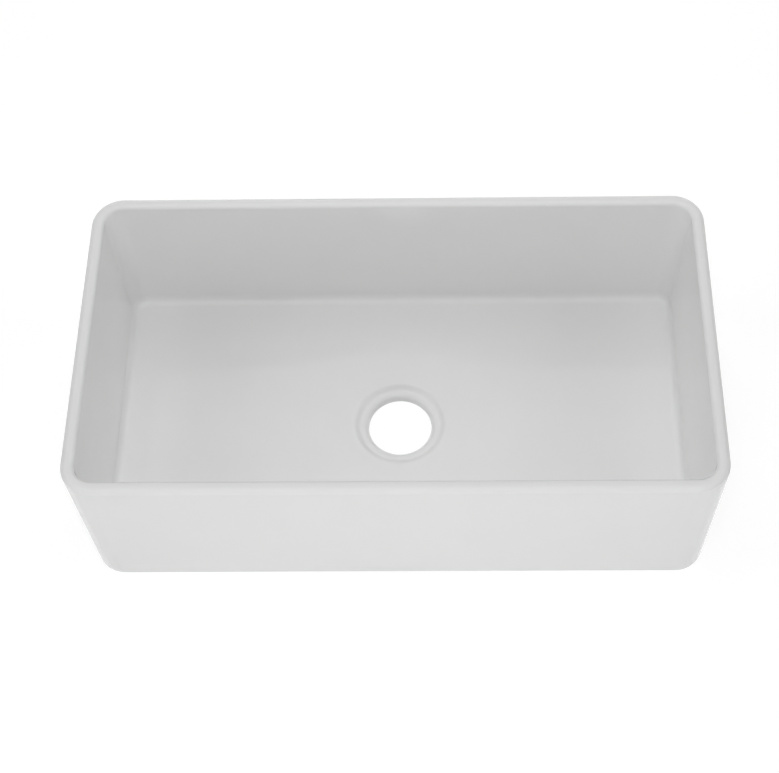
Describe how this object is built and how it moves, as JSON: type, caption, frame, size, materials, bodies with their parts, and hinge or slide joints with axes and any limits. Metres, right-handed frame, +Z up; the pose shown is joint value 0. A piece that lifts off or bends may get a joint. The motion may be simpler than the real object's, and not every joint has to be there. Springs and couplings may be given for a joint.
{
  "type": "undermount kitchen sink",
  "caption": "Deep rectangular undermount kitchen sink in white gloss, with rounded rim and corners, a dished floor, a recessed round drain hole, and swing-up hangers on its back and ends.",
  "frame": {"origin": "on the drain's axis, in the plane of the base that the sink rests on", "axes": "+X along the length, to the right as seen from the front; +Y from the front wall to the back wall; +Z up, from the base to the rim"},
  "size_m": [0.8954, 0.4826, 0.254],
  "materials": {
    "white_glaze": "smooth white gloss glaze",
    "brass": "turned",
    "stainless": "bright machined",
    "bracket_steel": "brushed stainless strip",
    "pad_rubber": "matt black"
  },
  "bodies": {
    "bowl": {"sink_bowl": "white_glaze", "wall_inserts": "brass", "bracket_washers": "stainless", "bracket_screws": "stainless"},
    "left_front": {"left_front_bracket": "bracket_steel", "left_front_pad": "pad_rubber"},
    "left_rear": {"left_rear_bracket": "bracket_steel", "left_rear_pad": "pad_rubber"},
    "right_front": {"right_front_bracket": "bracket_steel", "right_front_pad": "pad_rubber"},
    "right_rear": {"right_rear_bracket": "bracket_steel", "right_rear_pad": "pad_rubber"},
    "back_left": {"back_left_bracket": "bracket_steel", "back_left_pad": "pad_rubber"},
    "back_middle": {"back_middle_bracket": "bracket_steel", "back_middle_pad": "pad_rubber"},
    "back_right": {"back_right_bracket": "bracket_steel", "back_right_pad": "pad_rubber"}
  },
  "joints": [
    {"name": "left_front_swing", "type": "hinge", "parent": "bowl", "child": "left_front", "pos_m": [-0.42096, -0.095, 0.164], "axis": [-1, 0, 0], "continuous": true},
    {"name": "left_rear_swing", "type": "hinge", "parent": "bowl", "child": "left_rear", "pos_m": [-0.42096, 0.095, 0.164], "axis": [-1, 0, 0], "continuous": true},
    {"name": "right_front_swing", "type": "hinge", "parent": "bowl", "child": "right_front", "pos_m": [0.42096, -0.095, 0.164], "axis": [1, 0, 0], "continuous": true},
    {"name": "right_rear_swing", "type": "hinge", "parent": "bowl", "child": "right_rear", "pos_m": [0.42096, 0.095, 0.164], "axis": [1, 0, 0], "continuous": true},
    {"name": "back_left_swing", "type": "hinge", "parent": "bowl", "child": "back_left", "pos_m": [-0.27, 0.22896, 0.164], "axis": [0, 1, 0], "continuous": true},
    {"name": "back_middle_swing", "type": "hinge", "parent": "bowl", "child": "back_middle", "pos_m": [0, 0.22896, 0.164], "axis": [0, 1, 0], "continuous": true},
    {"name": "back_right_swing", "type": "hinge", "parent": "bowl", "child": "back_right", "pos_m": [0.27, 0.22896, 0.164], "axis": [0, 1, 0], "continuous": true}
  ]
}
